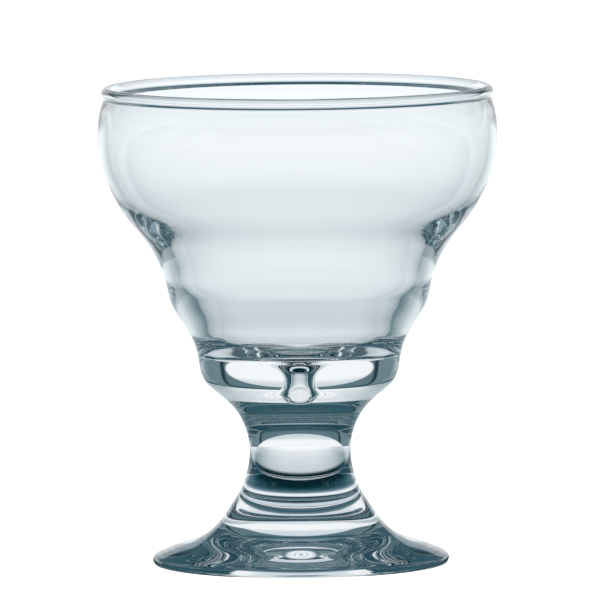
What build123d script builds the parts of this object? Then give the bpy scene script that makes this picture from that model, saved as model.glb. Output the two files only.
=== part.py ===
from build123d import *
import math
import os

# Parfait glass in clear pressed glass: a bowl on a solid base, a short solid stem
# and a round foot, three pieces that are joined hot, face to face.
# Millimetres, +Z up. The origin is on the axis, in the plane that the foot rests on.

# Heights, stacked from the resting plane up
foot_height = 13.0
stem_length = 24.0
collar_rise = 9.0
cup_rise = 18.0
shoulder_rise = 35.0
lip_rise = 7.8
bead_groove = 0.5

# Outside radii
foot_radius = 34.1
foot_joint_radius = 16.25
waist_radius = 11.7
bowl_joint_radius = 16.2
collar_radius = 23.1
cup_radius = 30.4
mouth_radius = 45.1

# How far the belly stands out from the mouth, and the lip under the bead is drawn in
belly_swell = 0.85
lip_inset = 0.4

# Glass thickness, measured level, and the solid base under the well
lip_wall = 1.8
belly_wall = 2.1
shoulder_wall = 3.44
cup_wall = 3.93
base_thickness = 11.6

# Well of the bowl: a nearly flat floor that falls a little towards a funnel-shaped dimple
floor_radius = 14.6
floor_fall = 0.4
dimple_radius = 7.5
dimple_depth = 4.9

# Rim bead, melted round, and how far below its middle the outside runs into it
bead_diameter = 2.7
bead_root_angle = 50.0

# Narrowest place of the stem, above the foot joint
waist_rise = 12.5

# Foot: a rounded edge, set in a little above and below its widest place, then a flat
# ring to rest on and a bell-shaped hollow with a flat middle
edge_thickness = 2.0
edge_round_in = 0.7
edge_tip_height = 0.9
edge_ring_in = 0.5
rest_ring_width = 3.5
hollow_height = 3.6
hollow_radius = 8.0

# How far the outside leans away from upright where the pieces join and at the foot's edge
bowl_joint_lean = 46.0
foot_joint_lean = 32.0
edge_lean = 66.0

# Points of the outlines, each as (share of the radius, share of the height) of the
# way from one ring to the next
heel_shares = [(0.15, 0.11), (0.50, 0.33), (0.80, 0.556), (0.938, 0.778)]
cup_shares = [(0.11, 0.222), (0.37, 0.444), (0.72, 0.667), (0.95, 0.889)]
shoulder_shares = [(0.073, 0.114), (0.374, 0.343), (0.583, 0.457), (0.742, 0.571), (0.95, 0.80)]
lip_shares = [(0.08, 0.39), (0.33, 0.65)]
inner_belly_shares = [(0.111, 0.368), (0.421, 0.684), (0.658, 0.842)]
inner_shoulder_shares = [(0.265, 0.156), (0.483, 0.312), (0.689, 0.50), (0.88, 0.75)]
well_shares = [(0.135, 0.227), (0.377, 0.506), (0.545, 0.714), (0.764, 0.877)]
floor_shares = [(0.507, 0.625)]
dimple_shares = [
    (0.227, 0.082),
    (0.387, 0.204),
    (0.52, 0.347),
    (0.613, 0.49),
    (0.68, 0.653),
    (0.747, 0.816),
    (0.867, 0.959),
]
lower_stem_shares = [(0.511, 0.296), (0.822, 0.592)]
upper_stem_shares = [(0.096, 0.362), (0.404, 0.681)]
foot_top_shares = [(0.122, 0.273), (0.23, 0.455), (0.394, 0.636), (0.72, 0.818)]
hollow_shares = [(0.333, 0), (0.667, 1)]

# Heights that follow
stem_top = foot_height + stem_length
waist_height = foot_height + waist_rise
floor_height = stem_top + base_thickness
collar_height = stem_top + collar_rise
cup_height = collar_height + cup_rise
belly_height = cup_height + shoulder_rise
lip_height = belly_height + lip_rise
overall_height = lip_height + bead_groove + bead_diameter

# Radii that follow
belly_radius = mouth_radius + belly_swell
lip_radius = mouth_radius - lip_inset

# Rings on the outside, as (radius, height)
foot_joint = (foot_joint_radius, foot_height)
waist = (waist_radius, waist_height)
bowl_joint = (bowl_joint_radius, stem_top)
collar = (collar_radius, collar_height)
cup = (cup_radius, cup_height)
belly = (belly_radius, belly_height)
lip = (lip_radius, lip_height)


def between(start, end, shares):
    """Points on the way from one ring to the next, placed by shares of that way."""
    return [
        (start[0] + r_share * (end[0] - start[0]), start[1] + z_share * (end[1] - start[1]))
        for r_share, z_share in shares
    ]


def climbing(lean, side):
    """Upward direction that leans away from upright by an angle, outwards (1) or inwards (-1)."""
    return (side * math.sin(math.radians(lean)), math.cos(math.radians(lean)))


def spreading(lean):
    """Downward direction that leans outwards, away from upright, by an angle."""
    return (math.sin(math.radians(lean)), -math.cos(math.radians(lean)))


# Rim bead, from its root on the outside over the top to the inside
bead_radius = bead_diameter / 2
bead_centre = (mouth_radius - bead_radius, overall_height - bead_radius)
bead_root = (
    bead_centre[0] + bead_radius * math.cos(math.radians(bead_root_angle)),
    bead_centre[1] - bead_radius * math.sin(math.radians(bead_root_angle)),
)
bead_top = (bead_centre[0], overall_height)
bead_inside = (bead_centre[0] - bead_radius, bead_centre[1])

# Outside of the bowl, from the hot joint up to the bead
shoulder = between(cup, belly, shoulder_shares)
outside = [
    bowl_joint,
    *between(bowl_joint, collar, heel_shares),
    collar,
    *between(collar, cup, cup_shares),
    cup,
    *shoulder,
    belly,
    *between(belly, lip, lip_shares),
    lip,
    bead_root,
]

# Inside of the bowl, from the bead down to the floor of the well and its dimple
middle_of_shoulder = shoulder[len(shoulder) // 2]
inner_lip = (lip_radius - lip_wall, lip_height)
inner_belly = (belly_radius - belly_wall, belly_height)
inner_shoulder = (middle_of_shoulder[0] - shoulder_wall, middle_of_shoulder[1])
inner_cup = (cup_radius - cup_wall, cup_height)
floor_edge = (floor_radius, floor_height)
dimple_edge = (dimple_radius, floor_height - floor_fall)
dimple_end = (0, dimple_edge[1] - dimple_depth)
inside = [
    bead_inside,
    inner_lip,
    inner_belly,
    *between(inner_belly, inner_shoulder, inner_belly_shares),
    inner_shoulder,
    *between(inner_shoulder, inner_cup, inner_shoulder_shares),
    inner_cup,
    *between(inner_cup, floor_edge, well_shares),
    floor_edge,
]
well_floor = [
    floor_edge,
    *between(floor_edge, dimple_edge, floor_shares),
    dimple_edge,
    *between(dimple_edge, dimple_end, dimple_shares),
    dimple_end,
]

# Bowl: flared cup with a rim bead, a drawn-in shoulder and a thick solid base
with BuildPart() as bowl:
    with BuildSketch(Plane.XZ):
        with BuildLine():
            Spline(*outside, tangents=[climbing(bowl_joint_lean, 1), climbing(bead_root_angle, 1)])
            ThreePointArc(bead_root, bead_top, bead_inside)
            Spline(*inside, tangents=[(0, -1), (-1, 0)])
            Spline(*well_floor, tangents=[(-1, 0), (-1, 0)])
            Polyline(dimple_end, (0, stem_top), bowl_joint)
        make_face()
    revolve(axis=Axis.Z)
bowl.part.label = "bowl"

# Stem: a solid spool, narrowest at its waist
stem_side = [
    foot_joint,
    *between(foot_joint, waist, lower_stem_shares),
    waist,
    *between(waist, bowl_joint, upper_stem_shares),
    bowl_joint,
]
with BuildPart() as stem:
    with BuildSketch(Plane.XZ):
        with BuildLine():
            Spline(*stem_side, tangents=[climbing(foot_joint_lean, -1), climbing(bowl_joint_lean, 1)])
            Polyline(bowl_joint, (0, stem_top), (0, foot_height), foot_joint)
        make_face()
    revolve(axis=Axis.Z)
stem.part.label = "stem"

# Foot: a disc that spreads from the stem to a rounded edge, hollow underneath
edge_top = (foot_radius - edge_round_in, edge_thickness)
edge_tip = (foot_radius, edge_tip_height)
edge_bottom = (foot_radius - edge_ring_in, 0)
ring_inside = (edge_bottom[0] - rest_ring_width, 0)
hollow_rim = (hollow_radius, hollow_height)
foot_top = [foot_joint, *between(foot_joint, edge_top, foot_top_shares), edge_top]
with BuildPart() as foot:
    with BuildSketch(Plane.XZ):
        with BuildLine():
            Spline(*foot_top, tangents=[spreading(foot_joint_lean), spreading(edge_lean)])
            ThreePointArc(edge_top, edge_tip, edge_bottom)
            Line(edge_bottom, ring_inside)
            Bezier(ring_inside, *between(ring_inside, hollow_rim, hollow_shares), hollow_rim)
            Polyline(hollow_rim, (0, hollow_height), (0, foot_height), foot_joint)
        make_face()
    revolve(axis=Axis.Z)
foot.part.label = "foot"

os.makedirs("parts", exist_ok=True)
for piece in (bowl.part, stem.part, foot.part):
    export_step(piece, f"parts/{piece.label}.step")
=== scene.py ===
import math

import bmesh
import bpy
import numpy as np
from mathutils import Euler, Matrix, Vector
from mathutils.geometry import interpolate_bezier


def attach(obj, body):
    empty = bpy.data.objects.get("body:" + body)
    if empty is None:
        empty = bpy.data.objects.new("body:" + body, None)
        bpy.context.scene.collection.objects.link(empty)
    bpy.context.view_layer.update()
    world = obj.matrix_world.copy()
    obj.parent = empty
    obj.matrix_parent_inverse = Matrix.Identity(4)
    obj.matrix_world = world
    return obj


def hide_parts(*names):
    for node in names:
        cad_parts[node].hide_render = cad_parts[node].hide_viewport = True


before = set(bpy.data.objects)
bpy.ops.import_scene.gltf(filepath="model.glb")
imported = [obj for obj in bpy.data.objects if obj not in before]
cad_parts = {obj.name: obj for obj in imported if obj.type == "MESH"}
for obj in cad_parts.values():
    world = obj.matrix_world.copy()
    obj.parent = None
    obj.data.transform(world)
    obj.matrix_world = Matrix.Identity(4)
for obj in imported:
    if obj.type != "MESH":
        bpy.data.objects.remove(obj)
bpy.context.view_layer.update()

bl_info = {
    "name": "Parfait glass",
    "version": (1, 0, 0),
    "blender": (4, 5, 0),
    "location": "View3D > Sidebar > Parfait",
    "description": "Makes a clear parfait glass in three hot-joined pieces, and its studio",
    "category": "Object",
}

# Each table has the points of an outline between two rings, as shares of the way from one to
# the other, first of its radius and then of its height
HEEL = [(0.15, 0.11), (0.50, 0.33), (0.80, 0.556), (0.938, 0.778)]
CUP = [(0.11, 0.222), (0.37, 0.444), (0.72, 0.667), (0.95, 0.889)]
SHOULDER = [(0.073, 0.114), (0.374, 0.343), (0.583, 0.457), (0.742, 0.571), (0.95, 0.80)]
LIP = [(0.08, 0.39), (0.33, 0.65)]
INNER_BELLY = [(0.111, 0.368), (0.421, 0.684), (0.658, 0.842)]
INNER_SHOULDER = [(0.265, 0.156), (0.483, 0.312), (0.689, 0.50), (0.88, 0.75)]
WELL = [(0.135, 0.227), (0.377, 0.506), (0.545, 0.714), (0.764, 0.877)]
WELL_FLOOR = [(0.507, 0.625)]
DIMPLE = [
    (0.227, 0.082), (0.387, 0.204), (0.52, 0.347), (0.613, 0.49), (0.68, 0.653),
    (0.747, 0.816), (0.867, 0.959),
]
LOWER_STEM = [(0.511, 0.296), (0.822, 0.592)]
UPPER_STEM = [(0.096, 0.362), (0.404, 0.681)]
FOOT_TOP = [(0.122, 0.273), (0.23, 0.455), (0.394, 0.636), (0.72, 0.818)]
HOLLOW_SIDE = [(0.333, 0), (0.667, 1)]


def length(name, words, metres):
    return bpy.props.FloatProperty(
        name=name,
        description=words,
        default=metres,
        unit="LENGTH",
        subtype="DISTANCE",
        precision=5,
    )


def angle(name, words, degrees):
    return bpy.props.FloatProperty(
        name=name,
        description=words,
        default=math.radians(degrees),
        unit="ROTATION",
        subtype="ANGLE",
    )


def level(name, words, default, most=1.0):
    return bpy.props.FloatProperty(
        name=name, description=words, default=default, min=0, max=most, precision=4
    )


class GlassSizes(bpy.types.PropertyGroup):
    """Sizes of the glass. Heights are measured from the plane that it stands on."""

    foot_top: length("Foot height", "Height of the joint of foot and stem", 0.013)
    stem_top: length("Stem top", "Height of the joint of stem and bowl", 0.037)
    waist: length("Waist height", "Height of the narrowest place of the stem", 0.0255)
    collar: length("Collar height", "Height of the collar round the solid base", 0.046)
    cup: length("Cup height", "Height of the swell under the shoulder", 0.064)
    belly: length("Belly height", "Height of the widest place of the bowl", 0.099)
    lip: length("Lip height", "Height at which the lip draws in under the bead", 0.1068)
    rim: length("Rim height", "Height of the top of the rim bead", 0.110)

    foot_r: length("Foot radius", "Outside radius of the foot", 0.0341)
    foot_joint_r: length("Foot joint radius", "Radius where foot and stem join", 0.01625)
    waist_r: length("Waist radius", "Radius of the narrowest place of the stem", 0.0117)
    bowl_joint_r: length("Bowl joint radius", "Radius where stem and bowl join", 0.0162)
    collar_r: length("Collar radius", "Outside radius of the collar", 0.0231)
    cup_r: length("Cup radius", "Outside radius of the swell under the shoulder", 0.0304)
    belly_r: length("Belly radius", "Outside radius of the belly", 0.04595)
    lip_r: length("Lip radius", "Outside radius of the lip", 0.0447)
    mouth_r: length("Mouth radius", "Outside radius of the rim bead", 0.0451)

    lip_wall: length("Lip wall", "Thickness of the wall at the lip", 0.0018)
    belly_wall: length("Belly wall", "Thickness of the wall at the belly", 0.0021)
    shoulder_wall: length("Shoulder wall", "Thickness of the wall at the shoulder", 0.00344)
    cup_wall: length("Cup wall", "Thickness of the wall at the swell", 0.00393)
    base: length("Base", "Solid glass between the stem and the floor of the well", 0.0116)
    floor_r: length("Floor radius", "Radius of the floor of the well", 0.0146)
    floor_fall: length("Floor fall", "How far the well's floor falls to the dimple", 0.0004)
    dimple_r: length("Dimple radius", "Radius of the dimple in the well's floor", 0.0075)
    dimple: length("Dimple depth", "Depth of the dimple below its mouth", 0.0049)
    bead: length("Bead", "Diameter of the rim bead", 0.0027)

    edge: length("Edge height", "Height at which the foot's rounded edge begins", 0.002)
    edge_tip: length("Edge tip", "Height of the widest place of the foot", 0.0009)
    edge_in: length("Edge rounding", "How far the edge is set in above its widest place", 0.0007)
    ring_in: length("Ring rounding", "How far the resting ring is set in", 0.0005)
    rest_ring: length("Resting ring", "Width of the flat ring that the glass stands on", 0.0035)
    hollow: length("Hollow", "Height of the hollow under the foot", 0.0036)
    hollow_r: length("Hollow middle", "Radius of the flat middle of the hollow", 0.008)

    bead_root: angle("Bead root", "How far below its middle the outside runs into the bead", 50)
    bowl_lean: angle("Bowl joint lean", "How far the outside leans where stem and bowl join", 46)
    foot_lean: angle("Foot joint lean", "How far the outside leans where foot and stem join", 32)
    edge_lean: angle("Edge lean", "How far the foot's top leans from upright at its edge", 66)


class GlassFinish(bpy.types.PropertyGroup):
    """Look of the fire-polished glass."""

    tint: bpy.props.FloatVectorProperty(
        name="Tint",
        description="Colour that the clear glass gives to light",
        subtype="COLOR",
        size=3,
        min=0,
        max=1,
        default=(0.985, 0.995, 0.995),
    )
    cords: level("Cords", "How much the tint changes along the drawn streaks in the glass", 0.004)
    ior: bpy.props.FloatProperty(
        name="Refraction", description="Index of refraction of soda-lime glass", default=1.52
    )
    ripple: length("Ripple", "Height of the faint waves in the pressed surface", 0.000004)


class StageLook(bpy.types.PropertyGroup):
    """Studio, floor and camera."""

    camera_back: length("Camera distance", "Level distance of the camera from the glass", 2.448)
    camera_up: length("Camera height", "Height of the camera above the floor", 0.280)
    camera_aside: length("Camera offset", "How far the camera stands to the right", 0.00026)
    camera_dip: angle("Camera dip", "Angle that the camera looks down", 5.122)
    camera_roll: angle("Camera roll", "Roll of the camera", -0.48)
    lens: bpy.props.FloatProperty(
        name="Lens", description="Focal length in millimetres", default=641.0
    )
    arch_top: angle("Sweep top", "Angle above level at which the lit sweep ends behind", 18.2)
    arch_curve: bpy.props.FloatProperty(
        name="Sweep arch",
        description="How much lower the sweep ends to the sides, in degrees for each square degree",
        default=0.0085,
        precision=4,
    )
    arch_soft: angle("Sweep edge", "Half the width of the sweep's soft edge", 1.0)
    horizon: angle("Horizon light", "Angle above level up to which the horizon is lit", 4.5)
    backlight: level("Backlight", "Strength of the room as the glass shows it", 1.1, most=2)
    mirrored: level("Mirrored room", "How much of the dark room shows by plain reflection", 0.6)
    room: level("Room light", "Light of the room on the floor", 0.8)
    floor_fill: level("Floor fill", "Light that the floor gives off for the camera", 0.4)


def between(start, end, shares):
    """Points on the way from one ring to the next."""
    radius, height = end[0] - start[0], end[1] - start[1]
    return [(start[0] + a * radius, start[1] + b * height) for a, b in shares]


def climbing(lean, side=1):
    """Upward direction that leans away from upright, outwards or (-1) inwards."""
    return (side * math.sin(lean), math.cos(lean))


def spreading(lean):
    """Downward direction that leans outwards from upright."""
    return (math.sin(lean), -math.cos(lean))


def drawn_through(rings, start, end, steps=6):
    """A line of even curvature through rings, with the directions that it leaves and arrives in."""
    rings = np.array(rings, float)
    gaps = np.linalg.norm(np.diff(rings, axis=0), axis=1)
    sums, sides = np.eye(len(rings)), np.zeros_like(rings)
    sides[0], sides[-1] = start, end
    for i in range(1, len(rings) - 1):
        back, on = gaps[i - 1], gaps[i]
        sums[i, i - 1 : i + 2] = 1 / back, 2 / back + 2 / on, 1 / on
        sides[i] = 3 * ((rings[i] - rings[i - 1]) / back**2 + (rings[i + 1] - rings[i]) / on**2)
    slopes = np.linalg.solve(sums, sides)
    line = []
    for i, gap in enumerate(gaps):
        a, b = Vector(rings[i]), Vector(rings[i + 1])
        handle_a, handle_b = a + Vector(slopes[i]) * gap / 3, b - Vector(slopes[i + 1]) * gap / 3
        line += interpolate_bezier(a, handle_a, handle_b, b, steps + 1)[:-1]
    return line + [Vector(rings[-1])]


def arc(middle, radius, first, last, steps):
    """Points of a circle's arc, both ends included."""
    turns = [first + (last - first) * i / steps for i in range(steps + 1)]
    return [middle + radius * Vector((math.cos(t), math.sin(t))) for t in turns]


def arc_over(a, b, c, steps):
    """Points of the circle's arc from a over b down to c."""
    a, b, c = Vector(a), Vector(b), Vector(c)
    rows = np.array([2 * (b - a), 2 * (c - a)])
    square = a.length_squared
    middle = Vector(np.linalg.solve(rows, [b.length_squared - square, c.length_squared - square]))
    first, last = (math.atan2(p.y - middle.y, p.x - middle.x) for p in (a, c))
    return arc(middle, (a - middle).length, first, last, steps)


HAIR = 0.000002  # between two hot-joined faces, so that they don't lie in one plane
TOUCHING = 0.0000001  # points nearer than this are one point
SHARP = math.radians(35)
TURN_STEPS, BEAD_STEPS, EDGE_STEPS, HOLLOW_STEPS = 160, 24, 12, 40


def bowl_outline(s):
    """From the joint up the outside, over the bead and down the inside to the dimple's tip."""
    joint, collar, cup = (s.bowl_joint_r, s.stem_top), (s.collar_r, s.collar), (s.cup_r, s.cup)
    belly, lip = (s.belly_r, s.belly), (s.lip_r, s.lip)
    shoulder = between(cup, belly, SHOULDER)
    bead_r = s.bead / 2
    bead_middle = Vector((s.mouth_r - bead_r, s.rim - bead_r))
    bead = arc(bead_middle, bead_r, -s.bead_root, math.pi, BEAD_STEPS)
    outside = [joint, *between(joint, collar, HEEL), collar, *between(collar, cup, CUP), cup]
    outside += [*shoulder, belly, *between(belly, lip, LIP), lip, bead[0]]

    mid = shoulder[len(shoulder) // 2]
    inner_lip = (s.lip_r - s.lip_wall, s.lip)
    inner_belly = (s.belly_r - s.belly_wall, s.belly)
    inner_shoulder = (mid[0] - s.shoulder_wall, mid[1])
    inner_cup = (s.cup_r - s.cup_wall, s.cup)
    floor_edge = (s.floor_r, s.stem_top + s.base)
    dimple_edge = (s.dimple_r, floor_edge[1] - s.floor_fall)
    dimple_end = (0, dimple_edge[1] - s.dimple)
    inside = [bead[-1], inner_lip, inner_belly]
    inside += [*between(inner_belly, inner_shoulder, INNER_BELLY), inner_shoulder]
    inside += [*between(inner_shoulder, inner_cup, INNER_SHOULDER), inner_cup]
    inside += [*between(inner_cup, floor_edge, WELL), floor_edge]
    well_floor = [floor_edge, *between(floor_edge, dimple_edge, WELL_FLOOR), dimple_edge]
    well_floor += [*between(dimple_edge, dimple_end, DIMPLE), dimple_end]

    outside = drawn_through(outside, climbing(s.bowl_lean), climbing(s.bead_root))
    inside = drawn_through(inside, (0, -1), (-1, 0))
    well_floor = drawn_through(well_floor, (-1, 0), (-1, 0), steps=5)
    return [Vector((0, s.stem_top)), *outside[:-1], *bead[:-1], *inside[:-1], *well_floor]


def stem_outline(s):
    """From the axis at the foot joint up the side of the spool and back to the axis."""
    foot_joint, bowl_joint = (s.foot_joint_r, s.foot_top), (s.bowl_joint_r, s.stem_top)
    waist = (s.waist_r, s.waist)
    rings = [foot_joint, *between(foot_joint, waist, LOWER_STEM), waist]
    rings += [*between(waist, bowl_joint, UPPER_STEM), bowl_joint]
    side = drawn_through(rings, climbing(s.foot_lean, -1), climbing(s.bowl_lean), steps=10)
    side[0].y += HAIR
    side[-1].y -= HAIR
    return [Vector((0, side[0].y)), *side, Vector((0, side[-1].y))]


def foot_outline(s):
    """From the axis at the joint down over the rounded edge to the resting ring and the hollow."""
    joint, edge_top = (s.foot_joint_r, s.foot_top), (s.foot_r - s.edge_in, s.edge)
    edge_tip, edge_bottom = (s.foot_r, s.edge_tip), (s.foot_r - s.ring_in, 0)
    ring_inside, hollow_rim = (edge_bottom[0] - s.rest_ring, 0), (s.hollow_r, s.hollow)
    rings = [joint, *between(joint, edge_top, FOOT_TOP), edge_top]
    top = drawn_through(rings, spreading(s.foot_lean), spreading(s.edge_lean), steps=8)
    edge = arc_over(edge_top, edge_tip, edge_bottom, EDGE_STEPS)
    handles = [Vector(p) for p in between(ring_inside, hollow_rim, HOLLOW_SIDE)]
    hollow = interpolate_bezier(Vector(ring_inside), *handles, Vector(hollow_rim), HOLLOW_STEPS)
    return [Vector((0, s.foot_top)), *top[:-1], *edge, *hollow, Vector((0, s.hollow))]


def turned(name, outline, joint_heights):
    """A closed glass piece, its outline spun round the axis. Hot joints get the second slot."""
    bm = bmesh.new()
    points = [bm.verts.new((p.x, 0, p.y)) for p in outline]
    edges = [bm.edges.new(pair) for pair in zip(points, points[1:])]
    bmesh.ops.spin(
        bm,
        geom=points + edges,
        cent=(0, 0, 0),
        axis=(0, 0, 1),
        angle=2 * math.pi,
        steps=TURN_STEPS,
        use_merge=True,
    )
    bmesh.ops.remove_doubles(bm, verts=bm.verts[:], dist=TOUCHING)
    bmesh.ops.recalc_face_normals(bm, faces=bm.faces[:])
    for face in bm.faces:
        face.smooth = True
        if any(all(abs(v.co.z - z) < TOUCHING for v in face.verts) for z in joint_heights):
            face.material_index = 1
            face.smooth = False
    mesh = bpy.data.meshes.new(name)
    bm.to_mesh(mesh)
    bm.free()
    mesh.set_sharp_from_angle(angle=SHARP)
    piece = bpy.data.objects.new(name, mesh)
    bpy.context.scene.collection.objects.link(piece)
    return piece


class Bench:
    """Puts nodes into one tree and joins them."""

    def __init__(self, tree):
        self.tree = tree
        tree.nodes.clear()

    def add(self, kind, **values):
        node = self.tree.nodes.new(kind)
        for key, value in values.items():
            setattr(node, key, value)
        return node

    def feed(self, socket, value):
        """Give a socket a plain value, or join it to another node's output."""
        if isinstance(value, bpy.types.NodeSocket):
            self.tree.links.new(value, socket)
        else:
            socket.default_value = value

    def math(self, operation, *values):
        node = self.add("ShaderNodeMath", operation=operation)
        for socket, value in zip(node.inputs, values):
            self.feed(socket, value)
        return node.outputs[0]

    def mix(self, factor, a, b, blend_type="MIX"):
        """Mix two colours. The node's sockets for colours are its seventh, eighth and third."""
        node = self.add("ShaderNodeMix", data_type="RGBA", blend_type=blend_type)
        for socket, value in zip((node.inputs[0], node.inputs[6], node.inputs[7]), (factor, a, b)):
            self.feed(socket, value)
        return node.outputs[2]

    def dimmed(self, colour, by):
        """A colour multiplied by another one."""
        return self.mix(1, colour, by, "MULTIPLY")

    def step(self, value, low, high):
        """0 below low, 1 above high, and smooth between them."""
        node = self.add("ShaderNodeMapRange", interpolation_type="SMOOTHSTEP")
        for name, given in (("Value", value), ("From Min", low), ("From Max", high)):
            self.feed(node.inputs[name], given)
        return node.outputs["Result"]

    def band(self, value, start, end, weight):
        """The weight between two soft edges, 0 outside them."""
        inside = self.math("MULTIPLY", self.step(value, *start), self.step(value, *end[::-1]))
        return self.math("MULTIPLY", inside, weight)

    def ramp(self, value, stops):
        """A colour for each value, from stops of (value, screen colour)."""
        low, high = stops[0][0], stops[-1][0]
        scaled = self.add("ShaderNodeMapRange")
        self.feed(scaled.inputs["From Min"], low)
        self.feed(scaled.inputs["From Max"], high)
        self.feed(scaled.inputs["Value"], value)
        node = self.add("ShaderNodeValToRGB")
        elements = node.color_ramp.elements
        while len(elements) < len(stops):
            elements.new(1)
        for element, (at, _) in zip(elements, stops):
            element.position = (at - low) / (high - low)
        for element, (_, colour) in zip(elements, stops):
            element.color = linear(colour)
        self.feed(node.inputs["Fac"], scaled.outputs["Result"])
        return node.outputs["Color"]


def linear(colour):
    """A screen colour of 0 to 255 as the linear one that nodes use, by the standard curve."""
    shares = (c / 255 for c in colour)
    return (*(c / 12.92 if c <= 0.04045 else ((c + 0.055) / 1.055) ** 2.4 for c in shares), 1)


def grey(value):
    return (value, value, value, 1)


WHITE = grey(1)

# Cords are drawn out along the axis, and each gives a trace of this tint to the glass
CORD_SPACING, CORD_DETAIL, CORD_TINT = (60, 60, 9), 3, (0.80, 0.93, 0.92, 1)


def fire_polish():
    """Shared look of pressed glass: faint cords in its tint and a ripple in its surface."""
    group = bpy.data.node_groups.get("fire_polish")
    if group:
        return group
    group = bpy.data.node_groups.new("fire_polish", "ShaderNodeTree")
    for name, way, kind in (
        ("Tint", "INPUT", "NodeSocketColor"),
        ("Cords", "INPUT", "NodeSocketFloat"),
        ("Ripple size", "INPUT", "NodeSocketFloat"),
        ("Colour", "OUTPUT", "NodeSocketColor"),
        ("Height", "OUTPUT", "NodeSocketFloat"),
    ):
        group.interface.new_socket(name, in_out=way, socket_type=kind)
    bench = Bench(group)
    given, out = bench.add("NodeGroupInput"), bench.add("NodeGroupOutput")
    where = bench.add("ShaderNodeTexCoord")
    drawn = bench.add("ShaderNodeMapping")
    bench.feed(drawn.inputs["Scale"], CORD_SPACING)
    bench.feed(drawn.inputs["Vector"], where.outputs["Object"])
    cords = bench.add("ShaderNodeTexNoise")
    bench.feed(cords.inputs["Scale"], 1)
    bench.feed(cords.inputs["Detail"], CORD_DETAIL)
    bench.feed(cords.inputs["Vector"], drawn.outputs[0])
    strength = bench.math("MULTIPLY", cords.outputs["Fac"], given.outputs["Cords"])
    bench.feed(out.inputs["Colour"], bench.mix(strength, given.outputs["Tint"], CORD_TINT))
    ripple = bench.add("ShaderNodeTexNoise")
    bench.feed(ripple.inputs["Scale"], given.outputs["Ripple size"])
    bench.feed(ripple.inputs["Detail"], 1)
    bench.feed(ripple.inputs["Vector"], where.outputs["Object"])
    bench.feed(out.inputs["Height"], ripple.outputs["Fac"])
    return group


def clear_glass(name, finish, ripple_size, ripple):
    """Clear fire-polished glass for one piece."""
    material = bpy.data.materials.new(name)
    material.use_nodes = True
    bench = Bench(material.node_tree)
    out, glass = bench.add("ShaderNodeOutputMaterial"), bench.add("ShaderNodeBsdfPrincipled")
    polish = bench.add("ShaderNodeGroup", node_tree=fire_polish())
    bench.feed(polish.inputs["Tint"], (*finish.tint, 1))
    bench.feed(polish.inputs["Cords"], finish.cords)
    bench.feed(polish.inputs["Ripple size"], ripple_size)
    waves = bench.add("ShaderNodeBump")
    bench.feed(waves.inputs["Strength"], 1)
    bench.feed(waves.inputs["Distance"], finish.ripple * ripple)
    bench.feed(waves.inputs["Height"], polish.outputs["Height"])
    bench.feed(glass.inputs["Base Color"], polish.outputs["Colour"])
    bench.feed(glass.inputs["Normal"], waves.outputs[0])
    bench.feed(glass.inputs["Roughness"], 0)
    bench.feed(glass.inputs["IOR"], finish.ior)
    bench.feed(glass.inputs["Transmission Weight"], 1)
    bench.feed(out.inputs["Surface"], glass.outputs[0])
    return material


def hot_joint():
    """Faces of a hot joint: the glass runs on through them, so they don't show."""
    material = bpy.data.materials.get("hot_joint")
    if material:
        return material
    material = bpy.data.materials.new("hot_joint")
    material.use_nodes = True
    bench = Bench(material.node_tree)
    out, face = bench.add("ShaderNodeOutputMaterial"), bench.add("ShaderNodeBsdfPrincipled")
    bench.feed(face.inputs["Alpha"], 0)
    bench.feed(out.inputs["Surface"], face.outputs[0])
    return material


def glass_piece(node, outline, joint_heights, finish, ripple_size, ripple):
    """Turn a piece, give it its glass and put it in the place of its node."""
    piece = turned(f"glass_{node}", outline, joint_heights)
    piece.data.materials.append(clear_glass(f"clear_{node}", finish, ripple_size, ripple))
    piece.data.materials.append(hot_joint())
    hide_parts(node)
    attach(piece, "root")


# The studio, as it reaches the eye through the glass or by reflection in it. Directions are in
# degrees to the side of straight behind the glass, and in degrees above level. Colours are
# screen colours.
# The lit sweep and, above it, the dark room straight behind, by degrees above level
SWEEP = [
    (0, (243, 246, 248)), (8, (243, 246, 248)), (10, (222, 228, 233)),
    (12, (209, 217, 224)), (20, (198, 209, 216)),
]
DARK_BEHIND = [
    (10, (92, 116, 124)), (24, (92, 116, 124)), (28, (54, 86, 98)), (38, (44, 78, 90)),
    (46, (104, 134, 144)), (56, (96, 122, 134)), (66, (72, 102, 114)), (90, (72, 102, 114)),
]
# The dark room beside and in front by degrees to the side, and where it begins
DARK_SIDES = [
    (41, (110, 131, 138)), (58, (106, 127, 135)), (64, (98, 123, 131)), (69, (58, 95, 107)),
    (80, (48, 86, 98)), (92, (40, 75, 87)), (110, (31, 65, 77)), (150, (33, 67, 79)),
    (180, (38, 72, 84)),
]
SIDES_BEGIN = (34, 44)
# A dark upright line where the two meet
FRAME_LINE = [
    (36.5, (255, 255, 255)), (38.8, (90, 108, 112)), (40.6, (90, 108, 112)),
    (42.5, (255, 255, 255)),
]
# A lit horizon from here round to the front
HORIZON, HORIZON_BEGINS = (140, 162, 173), (72, 105)
# From here round to the front, the light backdrop shows where the eye looks straight through
# the glass
OPEN_ROOM, OPEN_FLOOR = (60, 80), (42, 56)
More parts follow.
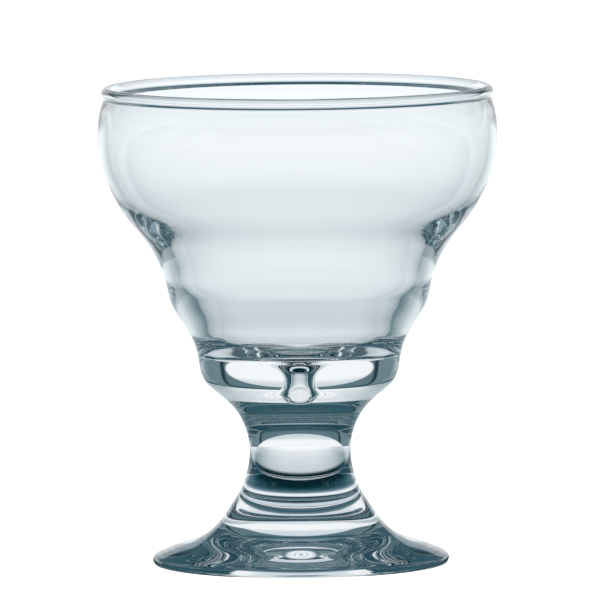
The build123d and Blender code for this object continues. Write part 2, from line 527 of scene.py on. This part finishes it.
# The floor by distance from the axis in metres, and what dims it by degrees to the side, near
# the glass and farther off
FLOOR = [
    (0.05, (198, 206, 212)), (0.08, (208, 215, 221)), (0.12, (215, 221, 227)),
    (0.2, (223, 229, 234)), (0.35, (232, 237, 241)), (0.55, (239, 243, 247)),
    (0.8, (244, 248, 252)), (1.2, (251, 254, 255)),
]
FLOOR_SIDES = [
    (10, (255, 255, 255)), (24, (231, 236, 235)), (30, (213, 222, 221)),
    (36, (190, 203, 203)), (43, (169, 184, 184)), (50, (130, 155, 156)),
    (60, (110, 132, 140)), (74, (82, 112, 122)), (180, (76, 110, 121)),
]
FAR_FLOOR_SIDES = [
    (10, (255, 255, 255)), (24, (238, 241, 241)), (30, (214, 220, 220)),
    (37, (203, 210, 211)), (85, (203, 210, 211)), (110, (200, 208, 212)),
    (180, (214, 221, 225)),
]
FAR_FLOOR = (0.1, 0.24)
# Edge of the foot's shade, and how much it grows for each square degree to the side
FOOT_SHADE = (0.042, 0.054)
SHADE_GROWTH = 0.0000065
# Painted shade under the foot: dark by degrees to the side, and nearer the axis by distance.
# Painted light, standing in for light that has come in through the glass, lies there in two rings,
# one under the middle and one near the edge. Each has its soft edges by distance, and fades out at
# its own angles to the side.
PAINTED_SHADE_UNDER_FOOT = [
    (22, (4, 32, 40)), (32, (30, 62, 71)), (42, (40, 74, 84)), (85, (40, 75, 85)),
    (100, (30, 64, 74)), (180, (32, 66, 76)),
]
UNDER_STEM = [
    (0.0115, (1, 26, 33)), (0.013, (3, 36, 43)), (0.0145, (27, 64, 73)),
    (0.0155, (46, 82, 94)), (0.0165, (72, 101, 115)), (0.0178, (112, 132, 146)),
    (0.022, (50, 82, 94)),
]
UNDER_STEM_ENDS = (0.019, 0.024)
PAINTED_LIGHT_UNDER = [
    (0.0195, (228, 236, 241)), (0.0225, (232, 239, 244)), (0.025, (205, 217, 223)),
    (0.034, (200, 212, 222)),
]
MIDDLE_RING, MIDDLE_SIDES = ((0.0178, 0.0196), (0.0217, 0.0242)), (84, 62)
EDGE_RING, EDGE_SIDES = ((0.0340, 0.0348), (0.0367, 0.0374)), (46, 36)
# Looking straight down through the foot, its shade is light, apart from a crescent behind
CLEAR_MIDDLE, CLEAR_SHADE = (0.030, 0.026), (206, 217, 222)

FLOOR_RADIUS, FLOOR_CORNERS, FLOOR_DROP, FLOOR_MATT = 20, 64, 10 * HAIR, 0.85
# Three soft lamps: name, place, size and power. All aim at one place in the glass.
LAMPS = [
    ("key", (-0.6, -0.7, 0.9), 0.7, 12),
    ("fill", (0.8, -0.5, 0.7), 0.8, 8),
    ("top", (0, 0.1, 1.3), 0.8, 10),
]
LAMP_AIM = (0, 0, 0.05)
SENSOR = 36
# Light is led along inside thick glass, so it is followed further than usual: in all, through
# glass, and reflected
BOUNCES, GLASS_BOUNCES, MIRROR_BOUNCES = 36, 20, 32


def turn_and_rise(bench, vector):
    """Degrees to the side of straight behind the glass, and degrees above level, of a direction."""
    parts = bench.add("ShaderNodeSeparateXYZ")
    bench.feed(parts.inputs[0], vector)
    x, y, z = parts.outputs
    aside = bench.math("DEGREES", bench.math("ABSOLUTE", bench.math("ARCTAN2", x, y)))
    return aside, bench.math("DEGREES", bench.math("ARCSINE", z))


def straight_through(bench, path):
    """1 for light that has only passed through glass, 0 once it has been reflected in it."""
    unreflected = bench.math("LESS_THAN", path.outputs["Glossy Depth"], 0.5)  # fewer than one
    return bench.math("MULTIPLY", unreflected, path.outputs["Is Transmission Ray"])


def studio_room(look):
    """A lit sweep with an arched top and a darker room, white where seen past the glass."""
    world = bpy.data.worlds.new("studio_room")
    bpy.context.scene.world = world
    world.use_nodes = True
    bench = Bench(world.node_tree)
    out, room = bench.add("ShaderNodeOutputWorld"), bench.add("ShaderNodeBackground")
    bench.feed(out.inputs["Surface"], room.outputs[0])
    path = bench.add("ShaderNodeLightPath")
    through = path.outputs["Is Transmission Ray"]
    aside, rise = turn_and_rise(bench, bench.add("ShaderNodeTexCoord").outputs["Generated"])
    droop = bench.math("MULTIPLY", bench.math("POWER", aside, 2.0), look.arch_curve)
    arch = bench.math("SUBTRACT", math.degrees(look.arch_top), droop)
    soft, horizon = math.degrees(look.arch_soft), math.degrees(look.horizon)
    above = bench.step(bench.math("SUBTRACT", rise, arch), -soft, soft)
    beside = bench.step(aside, *SIDES_BEGIN)
    dark = bench.mix(beside, bench.ramp(rise, DARK_BEHIND), bench.ramp(aside, DARK_SIDES))
    dark = bench.dimmed(dark, bench.ramp(aside, FRAME_LINE))
    low, round_front = (
        bench.step(rise, horizon + soft, horizon - soft),
        bench.step(aside, *HORIZON_BEGINS),
    )
    dark = bench.mix(bench.math("MULTIPLY", low, round_front), dark, linear(HORIZON))
    dark = bench.dimmed(dark, bench.mix(through, grey(look.mirrored), WHITE))
    sweep = bench.ramp(rise, SWEEP)
    open_side = bench.step(aside, *OPEN_ROOM)
    clear = bench.math("MULTIPLY", straight_through(bench, path), open_side)
    seen = bench.mix(clear, bench.mix(above, sweep, dark), sweep)
    backlit = bench.dimmed(seen, grey(look.backlight))
    light = bench.mix(path.outputs["Is Glossy Ray"], grey(look.room), backlit)
    bench.feed(room.inputs["Color"], bench.mix(path.outputs["Is Camera Ray"], light, WHITE))


def studio_floor(look):
    """A wide matt floor, nearly white to the camera. To the glass it shows as a glow with painted
    light and shade: darker to the sides, a painted shadow of the foot, and painted rings of light
    under it.
    """
    mesh = bpy.data.meshes.new("studio_floor")
    bm = bmesh.new()
    bmesh.ops.create_circle(bm, cap_ends=True, radius=FLOOR_RADIUS, segments=FLOOR_CORNERS)
    bmesh.ops.translate(bm, verts=bm.verts[:], vec=(0, 0, -FLOOR_DROP))
    bm.to_mesh(mesh)
    bm.free()
    floor = bpy.data.objects.new("studio_floor", mesh)
    bpy.context.scene.collection.objects.link(floor)
    material = bpy.data.materials.new("studio_floor")
    material.use_nodes = True
    mesh.materials.append(material)
    bench = Bench(material.node_tree)
    out = bench.add("ShaderNodeOutputMaterial")
    path = bench.add("ShaderNodeLightPath")
    where = bench.add("ShaderNodeTexCoord").outputs["Object"]
    aside, _ = turn_and_rise(bench, where)
    size = bench.add("ShaderNodeVectorMath", operation="LENGTH")
    bench.feed(size.inputs[0], where)
    away = size.outputs["Value"]
    far = bench.math("MULTIPLY", bench.step(away, *FAR_FLOOR), path.outputs["Is Transmission Ray"])
    sides = bench.mix(far, bench.ramp(aside, FLOOR_SIDES), bench.ramp(aside, FAR_FLOOR_SIDES))
    straight, side = straight_through(bench, path), bench.step(aside, *OPEN_FLOOR)
    sides = bench.mix(bench.math("MULTIPLY", straight, side), sides, WHITE)
    open_floor = bench.dimmed(bench.ramp(away, FLOOR), sides)
    # Painted shade under the foot and stem, with painted rings of light in it
    outer = bench.step(away, *UNDER_STEM_ENDS)
    under = bench.mix(outer, bench.ramp(away, UNDER_STEM), bench.ramp(aside, PAINTED_SHADE_UNDER_FOOT))
    middle_ring = bench.band(away, *MIDDLE_RING, bench.step(aside, *MIDDLE_SIDES))
    edge_ring = bench.band(away, *EDGE_RING, bench.step(aside, *EDGE_SIDES))
    rings = bench.math("MAXIMUM", middle_ring, edge_ring)
    under = bench.mix(rings, under, bench.ramp(away, PAINTED_LIGHT_UNDER))
    clear = bench.math("MAXIMUM", side, bench.step(away, *CLEAR_MIDDLE))
    under = bench.mix(bench.math("MULTIPLY", straight, clear), under, linear(CLEAR_SHADE))
    # The foot's painted shadow, growing to the sides
    shade_growth = bench.math("MULTIPLY", bench.math("POWER", aside, 2.0), SHADE_GROWTH)
    past_shade = bench.step(bench.math("SUBTRACT", away, shade_growth), *FOOT_SHADE)
    seen = bench.mix(past_shade, under, open_floor)
    # The glass sees the floor as this glow, which carries the painted light and shade
    glow, fill = bench.add("ShaderNodeEmission"), bench.add("ShaderNodeEmission")
    bench.feed(glow.inputs["Color"], seen)
    bench.feed(glow.inputs["Strength"], look.backlight)
    matt = bench.add("ShaderNodeBsdfDiffuse")
    bench.feed(matt.inputs["Color"], grey(FLOOR_MATT))
    seen_plainly = bench.math("MULTIPLY", path.outputs["Is Camera Ray"], look.floor_fill)
    bench.feed(fill.inputs["Strength"], seen_plainly)
    lit, either = bench.add("ShaderNodeAddShader"), bench.add("ShaderNodeMixShader")
    bench.feed(lit.inputs[0], matt.outputs[0])
    bench.feed(lit.inputs[1], fill.outputs[0])
    bench.feed(either.inputs[0], path.outputs["Is Glossy Ray"])
    bench.feed(either.inputs[1], lit.outputs[0])
    bench.feed(either.inputs[2], glow.outputs[0])
    bench.feed(out.inputs["Surface"], either.outputs[0])


def studio_camera(look):
    data = bpy.data.cameras.new("camera")
    data.lens = look.lens
    data.sensor_width = SENSOR
    camera = bpy.data.objects.new("camera", data)
    bpy.context.scene.collection.objects.link(camera)
    dip = Euler((math.pi / 2 - look.camera_dip, 0, 0)).to_matrix()
    turn = dip @ Matrix.Rotation(look.camera_roll, 3, "Z")
    place = Matrix.Translation((look.camera_aside, -look.camera_back, look.camera_up))
    camera.matrix_world = place @ turn.to_4x4()
    bpy.context.scene.camera = camera


def studio_lamps():
    """Three soft lamps for the floor. The glass shows the room instead of them."""
    for name, place, size, power in LAMPS:
        data = bpy.data.lights.new(name, "AREA")
        data.size = size
        data.energy = power
        lamp = bpy.data.objects.new(name, data)
        bpy.context.scene.collection.objects.link(lamp)
        lamp.location = place
        back = Vector(place) - Vector(LAMP_AIM)
        lamp.rotation_euler = back.to_track_quat("Z", "Y").to_euler()
        lamp.visible_glossy = lamp.visible_transmission = False


class MakeBowl(bpy.types.Operator):
    """Turn the bowl with its rim bead, its solid base and the dimple in the well's floor"""

    bl_idname = "parfait.bowl"
    bl_label = "Bowl"

    def execute(self, context):
        s, finish = context.scene.glass_sizes, context.scene.glass_finish
        glass_piece("bowl", bowl_outline(s), [s.stem_top], finish, ripple_size=55, ripple=1.0)
        return {"FINISHED"}


class MakeStem(bpy.types.Operator):
    """Turn the solid spool between the foot and the bowl"""

    bl_idname = "parfait.stem"
    bl_label = "Stem"

    def execute(self, context):
        s, finish = context.scene.glass_sizes, context.scene.glass_finish
        joints = [s.foot_top + HAIR, s.stem_top - HAIR]
        glass_piece("stem", stem_outline(s), joints, finish, ripple_size=90, ripple=0.6)
        return {"FINISHED"}


class MakeFoot(bpy.types.Operator):
    """Turn the foot with its rounded edge, its resting ring and the hollow underneath"""

    bl_idname = "parfait.foot"
    bl_label = "Foot"

    def execute(self, context):
        s, finish = context.scene.glass_sizes, context.scene.glass_finish
        glass_piece("foot", foot_outline(s), [s.foot_top], finish, ripple_size=80, ripple=1.0)
        return {"FINISHED"}


class SetStage(bpy.types.Operator):
    """Set up the studio: floor, room, camera and lamps"""

    bl_idname = "parfait.stage"
    bl_label = "Stage"

    def execute(self, context):
        look = context.scene.stage_look
        context.scene.view_settings.view_transform = "Standard"
        paths = context.scene.cycles
        paths.max_bounces = BOUNCES
        paths.transmission_bounces, paths.glossy_bounces = GLASS_BOUNCES, MIRROR_BOUNCES
        studio_floor(look)
        studio_room(look)
        studio_camera(look)
        studio_lamps()
        return {"FINISHED"}


class ParfaitPanel(bpy.types.Panel):
    """Sizes, finish and stage of the parfait glass"""

    bl_idname = "VIEW3D_PT_parfait"
    bl_label = "Parfait glass"
    bl_space_type = "VIEW_3D"
    bl_region_type = "UI"
    bl_category = "Parfait"

    def draw(self, context):
        scene = context.scene
        for title, values in (
            ("Sizes", scene.glass_sizes),
            ("Finish", scene.glass_finish),
            ("Stage", scene.stage_look),
        ):
            box = self.layout.box()
            box.label(text=title)
            for name in values.__annotations__:
                box.prop(values, name)
        for operator in MAKERS:
            self.layout.operator(operator.bl_idname)


MAKERS = (MakeBowl, MakeStem, MakeFoot, SetStage)
CLASSES = (GlassSizes, GlassFinish, StageLook, *MAKERS, ParfaitPanel)


def register():
    for cls in CLASSES:
        bpy.utils.register_class(cls)
    bpy.types.Scene.glass_sizes = bpy.props.PointerProperty(type=GlassSizes)
    bpy.types.Scene.glass_finish = bpy.props.PointerProperty(type=GlassFinish)
    bpy.types.Scene.stage_look = bpy.props.PointerProperty(type=StageLook)


def unregister():
    for name in ("glass_sizes", "glass_finish", "stage_look"):
        delattr(bpy.types.Scene, name)
    for cls in reversed(CLASSES):
        bpy.utils.unregister_class(cls)


def main():
    register()
    bpy.ops.parfait.bowl()
    bpy.ops.parfait.stem()
    bpy.ops.parfait.foot()
    bpy.ops.parfait.stage()


if __name__ == "__main__":
    main()
